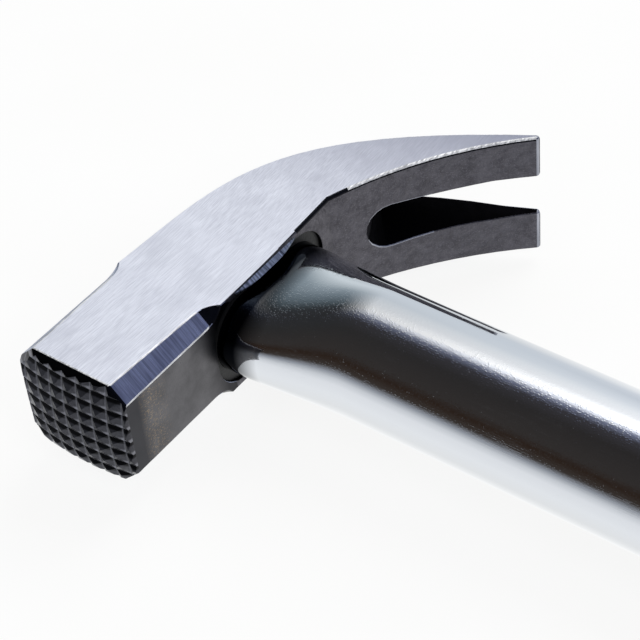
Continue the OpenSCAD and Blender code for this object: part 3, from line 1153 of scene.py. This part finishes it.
        def side(axis: Any, size: Any, column: int) -> Any:
            """Formula of one coordinate of the squarish section.

            Args:
                axis: The cylinder's own coordinate.
                size: The size at the swell.
                column: 1 for the height, 2 for the thickness.

            Returns:
                The formula.
            """
            reach = ("SUBTRACT", ("MULTIPLY", self.curve(tree, share, column), ("MULTIPLY", size, 0.5)), loss)
            full = ("POWER", ("ABSOLUTE", axis), self.squareness)
            return "MULTIPLY", ("MULTIPLY", full, ("SIGN", axis)), reach

        spot = add_node(tree, "ShaderNodeCombineXYZ", (
            along, side(axes[0], sizes["Height"], 1), side(axes[1], sizes["Thickness"], 2)))
        moved = add_node(tree, "GeometryNodeSetPosition", {"Geometry": body, "Position": spot})
        real = add_node(tree, "GeometryNodeRealizeInstances", {"Geometry": moved})
        dressed = add_node(tree, "GeometryNodeSetMaterial", {"Geometry": real, "Material": RUBBER.material()})
        add_node(tree, "NodeGroupOutput", (dressed,))
        return tree

    def sleeve(self) -> Object:
        """Runs the tree and moves its mesh to the butt.

        Returns:
            The sleeve's object, without its holes.
        """
        piece = new_piece("rubber_grip", bpy.data.meshes.new("rubber_grip"), ())
        modifier = piece.modifiers.new("sleeve", "NODES")
        modifier.node_group = self.tree()
        values = self.inputs()
        for item in modifier.node_group.interface.items_tree:
            if item.in_out == "INPUT":
                modifier[item.identifier] = values[item.name]
        evaluated(piece)
        piece.data.transform(Matrix.Translation(placed(self.butt_x, 0, 0)))
        form = bmesh.new()
        form.from_mesh(piece.data)
        bmesh.ops.remove_doubles(form, verts=form.verts, dist=0.001 * MM)
        bmesh.ops.recalc_face_normals(form, faces=form.faces)
        form.to_mesh(piece.data)
        form.free()
        return piece

    def cutter(self, diameter: float, low: Vector, high: Vector) -> Object:
        """A closed cylinder between two points, used to cut and then removed.

        Args:
            diameter: Its width, in millimetres.
            low: Middle of one end.
            high: Middle of the other end.

        Returns:
            The cylinder's object.
        """
        form = bmesh.new()
        axis = high - low
        turn = axis.to_track_quat("Z", "Y").to_matrix().to_4x4()
        bmesh.ops.create_cone(form, cap_ends=True, segments=96, radius1=diameter * MM / 2,
                              radius2=diameter * MM / 2, depth=axis.length,
                              matrix=Matrix.Translation((low + high) / 2) @ turn)
        mesh = bpy.data.meshes.new("cutter")
        form.to_mesh(mesh)
        form.free()
        return new_piece("cutter", mesh, (RUBBER,))

    def build(self) -> Object:
        """Cuts the bore, the hanging hole and its two recesses out of the sleeve.

        Returns:
            The grip's object.
        """
        piece = self.sleeve()
        hole_x = self.butt_x + self.hang_in
        reach = self.thickness
        rim = self.hang_d + 2 * self.hang_rim
        level = self.thickness / 2 - self.hang_sink
        cuts = [self.cutter(self.bore, placed(self.butt_x + self.bore_from, 0, 0),
                            placed(self.butt_x + self.length + 5, 0, 0)),
                self.cutter(self.hang_d, placed(hole_x, 0, -reach), placed(hole_x, 0, reach)),
                self.cutter(rim, placed(hole_x, 0, level), placed(hole_x, 0, reach)),
                self.cutter(rim, placed(hole_x, 0, -reach), placed(hole_x, 0, -level))]
        for cut in cuts:
            modifier = piece.modifiers.new("cut", "BOOLEAN")
            modifier.operation = "DIFFERENCE"
            modifier.solver = "EXACT"
            modifier.object = cut
        evaluated(piece)
        for cut in cuts:
            bpy.data.objects.remove(cut)
        sharpen(piece.data, 50)
        return piece

    def dress(self) -> None:
        """Builds the grip in place of its solid."""
        register(self.build(), "grip_rubber", "grip")


@dataclass
class Studio:
    """Pale floor, soft light and the camera, none of which belongs to the hammer.

    Args:
        lens_mm: Focal length on a 36 mm sensor.
        eye_mm: The camera's place in the row frame.
        right: Direction of the picture's right-hand side.
        down: Direction of the picture's lower side.
        ahead: Viewing direction.
        floor_m: Width of the floor.
        plain_strength: Strength of the light that matt surfaces get.
        metal_strength: Strength of the walls that metal sees.
        glow_strength: Strength of the soft box that metal sees.
        lamps: Name, place, aim, width of the panel in metres, and watts.
    """

    lens_mm: float = 114.75
    eye_mm: tuple[float, float, float] = (-46.9, 206.9, 266.65)
    right: tuple[float, float, float] = (-0.804, -0.59, -0.077)
    down: tuple[float, float, float] = (-0.361, 0.586, -0.725)
    ahead: tuple[float, float, float] = (0.473, -0.555, -0.684)
    floor_m: float = 6.0
    plain_strength: float = 0.75
    metal_strength: float = 1.1
    glow_strength: float = 1.9
    lamps: tuple[tuple[Any, ...], ...] = (
        ("soft_top", (0.1, -0.9, 1.1), (0.05, 0.0, 0.0), 0.9, 10.0),
        ("edge_light", (-0.6, 0.2, 0.75), (0.1, 0.0, 0.0), 0.35, 2.5))

    def camera(self) -> None:
        """Places the camera at the photograph's viewing angle."""
        data = bpy.data.cameras.new("camera")
        data.lens = self.lens_mm
        data.sensor_width = 36.0
        data.clip_start = 0.01
        camera = bpy.data.objects.new("camera", data)
        bpy.context.scene.collection.objects.link(camera)
        right, down, ahead = (Vector(v).normalized() for v in (self.right, self.down, self.ahead))
        pose = Matrix((right, -down, -ahead)).transposed().to_4x4()
        pose.translation = Vector(self.eye_mm) * MM
        camera.matrix_world = pose
        bpy.context.scene.camera = camera

    def floor(self) -> None:
        """Lays a pale floor that keeps the hammer's shadow and leaves the metal to the studio's walls."""
        half = self.floor_m / 2
        mesh = bpy.data.meshes.new("floor")
        mesh.from_pydata([(-half, -half, 0), (half, -half, 0), (half, half, 0), (-half, half, 0)], [], [(0, 1, 2, 3)])
        floor = bpy.data.objects.new("floor", mesh)
        bpy.context.scene.collection.objects.link(floor)
        floor.visible_glossy = False
        material = bpy.data.materials.new("pale_paper")
        tree = fresh_tree(material)
        coords = add_node(tree, "ShaderNodeTexCoord", (), "Object")
        cloud = pattern(tree, coords, 60.0, 3.0)
        tint = layered(tree, linear("#fafaf9"), (cloud, 0.0, 1.0, 0.0, 1.0, "#fdfdfd"))
        paper = add_node(tree, "ShaderNodeBsdfDiffuse", {"Color": tint})
        glow = add_node(tree, "ShaderNodeEmission", {"Color": tint, "Strength": 1.0})
        rays = add_node(tree, "ShaderNodeLightPath", (), None).outputs
        share = ("MULTIPLY", ("MAXIMUM", rays["Is Camera Ray"], rays["Is Glossy Ray"]), 0.9)
        mixed = add_node(tree, "ShaderNodeMixShader", (share, paper, glow))
        add_node(tree, "ShaderNodeOutputMaterial", (mixed,))
        mesh.materials.append(material)

    def walls(self) -> list[tuple[float, str, str, float]]:
        """The studio round the handle's axis: degrees from the striking side upwards, tone, tone far off, glow.

        Returns:
            One row for each tone.
        """
        return [(-180, "#ced4dc", "#a3adb3", 0), (-165, "#e8ebee", "#7d868b", 0), (-135, "#f3f4f4", "#c4c7c9", 0),
                (-110, "#f4f5f5", "#f4f5f5", 0), (-79, "#e2e4e5", "#e2e4e5", 0), (-50, "#e4e7ea", "#e4e7ea", 0),
                (-28, "#dde0e4", "#dde0e4", 0), (-17, "#c6cacf", "#c6cacf", 0), (-7, "#8c9199", "#8c9199", 0),
                (2, "#383330", "#383330", 0), (17, "#291f19", "#291f19", 0), (30, "#302d2c", "#302d2c", 0),
                (70, "#292727", "#292a2b", 0), (89, "#36353a", "#28292b", 0), (99, "#6e748a", "#2a2b2d", 0.1),
                (107, "#e4e8f0", "#2c2e31", 0.9), (112, "#ffffff", "#313538", 1), (119, "#fdfeff", "#3e464b", 0.55),
                (127, "#f9fbfe", "#525d64", 0), (138, "#eef2f6", "#66727a", 0), (150, "#dbe1e8", "#828e96", 0),
                (168, "#c4cbd4", "#cad3d8", 0), (180, "#ced4dc", "#a9b3b9", 0)]

    def ring(self, tree: NodeTree, place: Any, column: int) -> Any:
        """A colour ramp round the handle's axis, with the glow as its alpha.

        Args:
            tree: World tree.
            place: Share of the full turn.
            column: 1 for the near tones, 2 for the far ones.

        Returns:
            The ramp's outputs, colour and alpha.
        """
        ramp = add_node(tree, "ShaderNodeValToRGB", (place,), None)
        set_stops(ramp, [((row[0] + 180) / 360, linear(row[column])[:3] + (row[3],)) for row in self.walls()])
        return ramp.outputs

    def world(self) -> None:
        """Lights the studio: even white for matt surfaces, and bright and dark walls for metal."""
        world = bpy.data.worlds.new("studio")
        bpy.context.scene.world = world
        tree = fresh_tree(world)
        way = add_node(tree, "ShaderNodeSeparateXYZ", (add_node(tree, "ShaderNodeTexCoord", (), "Generated"),),
                       None).outputs
        place = add_node(tree, MAP, (("ARCTAN2", way[2], way[1]), -math.pi, math.pi, 0.0, 1.0))
        near, far = self.ring(tree, place, 1), self.ring(tree, place, 2)
        above = add_node(tree, MAP, (way[2], 0.0, 0.3, 0.0, 1.0))
        tone = layered(tree, near[0], (way[0], 0.3, 0.7, 0.0, 1.0, far[0]),
                       (way[0], -0.5, -0.2, above, 0.0, "#6a7088"))
        glow = add_node(tree, MAP, (way[0], -0.35, -0.15, 0.0, near[1]))
        glow = add_node(tree, MAP, (way[0], 0.3, 0.5, glow, 0.0))
        strength = add_node(tree, MAP, (glow, 0.0, 1.0, self.metal_strength, self.glow_strength))
        rays = add_node(tree, "ShaderNodeLightPath", (), None).outputs
        plain, shown, metal = (add_node(tree, "ShaderNodeBackground", (colour, level)) for colour, level in (
            (linear("#f4f6fa"), self.plain_strength), (linear("#fefefe"), 1.0), (tone, strength)))
        first = add_node(tree, "ShaderNodeMixShader", (rays["Is Glossy Ray"], plain, metal))
        last = add_node(tree, "ShaderNodeMixShader", (rays["Is Camera Ray"], first, shown))
        add_node(tree, "ShaderNodeOutputWorld", (last,))

    def lamp(self, name: str, place: Vector, aim: Vector, size_m: float, power: float) -> None:
        """Adds one soft square lamp that looks at a point.

        Args:
            name: The lamp's name.
            place: Where it hangs.
            aim: What it looks at.
            size_m: Width of its panel.
            power: Watts.
        """
        data = bpy.data.lights.new(name, "AREA")
        data.size = size_m
        data.energy = power
        lamp = bpy.data.objects.new(name, data)
        lamp.location = place
        lamp.visible_glossy = False
        lamp.rotation_euler = (place - aim).to_track_quat("Z", "Y").to_euler()
        bpy.context.scene.collection.objects.link(lamp)

    def build(self) -> None:
        """Sets the camera, floor, walls and soft lamps."""
        self.camera()
        self.floor()
        self.world()
        for name, place, aim, size_m, power in self.lamps:
            self.lamp(name, Vector(place), Vector(aim), size_m, power)
        bpy.context.scene.view_settings.view_transform = "Standard"


def main() -> None:
    """Builds the studio and every sub-assembly in order."""
    logging.basicConfig(level=logging.INFO, format="%(name)s %(message)s")
    Studio().build()
    for assembly in (ForgedHead(), HandleTube(), Eye(), Grip()):
        assembly.dress()
        LOG.info("%s dressed", type(assembly).__name__)


if __name__ == "__main__":
    main()
